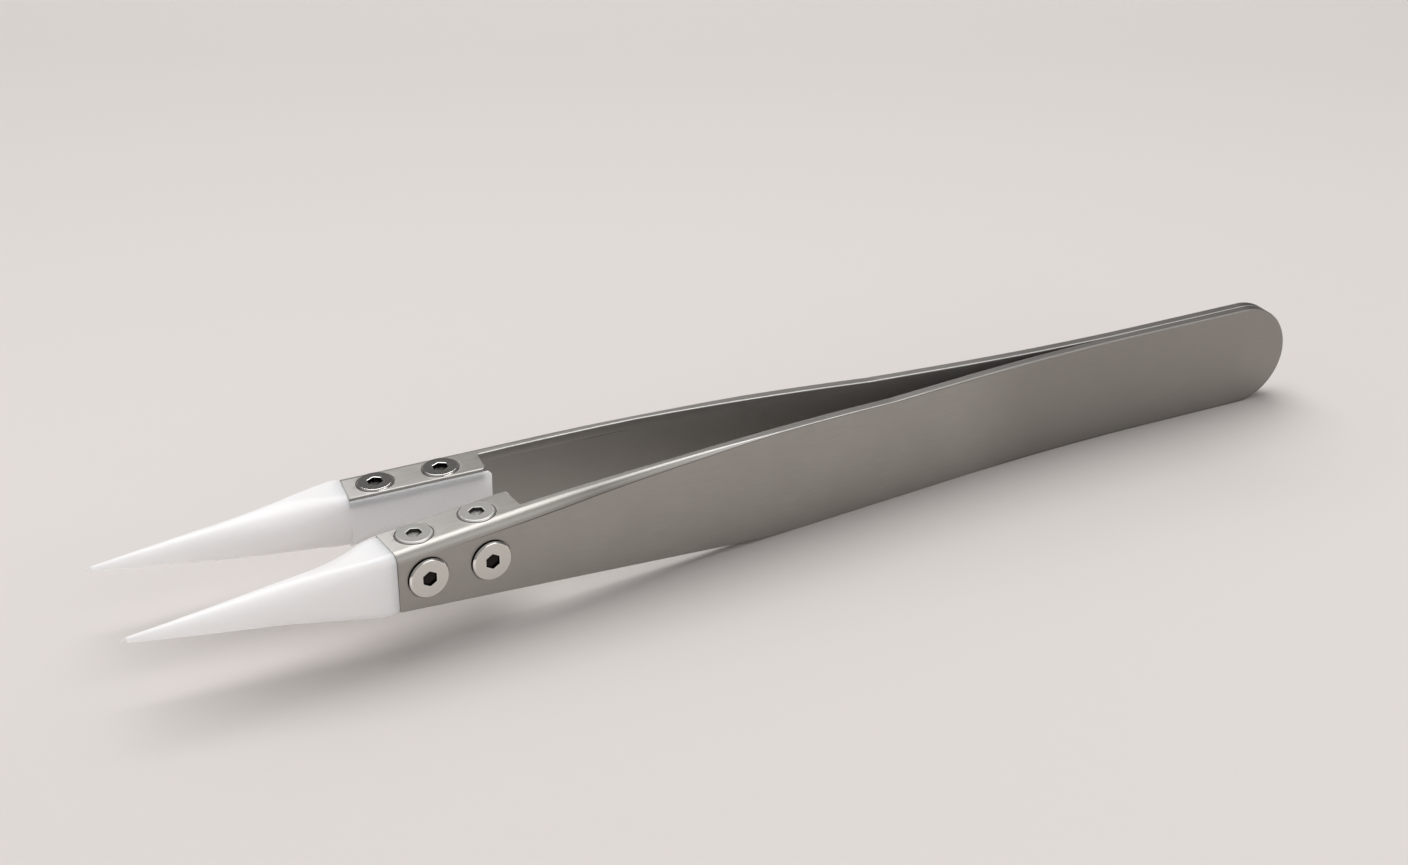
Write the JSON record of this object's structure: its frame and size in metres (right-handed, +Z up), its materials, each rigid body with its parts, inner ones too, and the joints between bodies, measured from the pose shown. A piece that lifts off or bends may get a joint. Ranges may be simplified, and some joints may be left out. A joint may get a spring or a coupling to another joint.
{
  "type": "ceramic tweezers",
  "caption": "tweezers with two sprung sheet-steel arms joined at a rounded tail and white ceramic tips screwed into folded front ends, lying on the lower edge",
  "frame": {"origin": "middle of the length, in the mirror plane between the arms, on the surface the tweezers lie on", "axes": "+X along the tweezers from the points to the rounded tail, +Y across the arms from the left arm to the right arm, +Z up"},
  "size_m": [0.1276, 0.0168, 0.0114],
  "materials": {
    "sheet_steel": "stainless sheet, brushed along the arm",
    "ceramic": "smooth, unglazed, ground",
    "screw_steel": "turned, bright rim"
  },
  "bodies": {
    "root": {"left_arm": "sheet_steel", "left_ceramic_tip": "ceramic", "left_side_screw_front": "screw_steel", "left_side_screw_rear": "screw_steel", "left_top_screw_front": "screw_steel", "left_top_screw_rear": "screw_steel", "right_arm": "sheet_steel", "right_ceramic_tip": "ceramic", "right_side_screw_front": "screw_steel", "right_side_screw_rear": "screw_steel", "right_top_screw_front": "screw_steel", "right_top_screw_rear": "screw_steel"}
  },
  "joints": []
}
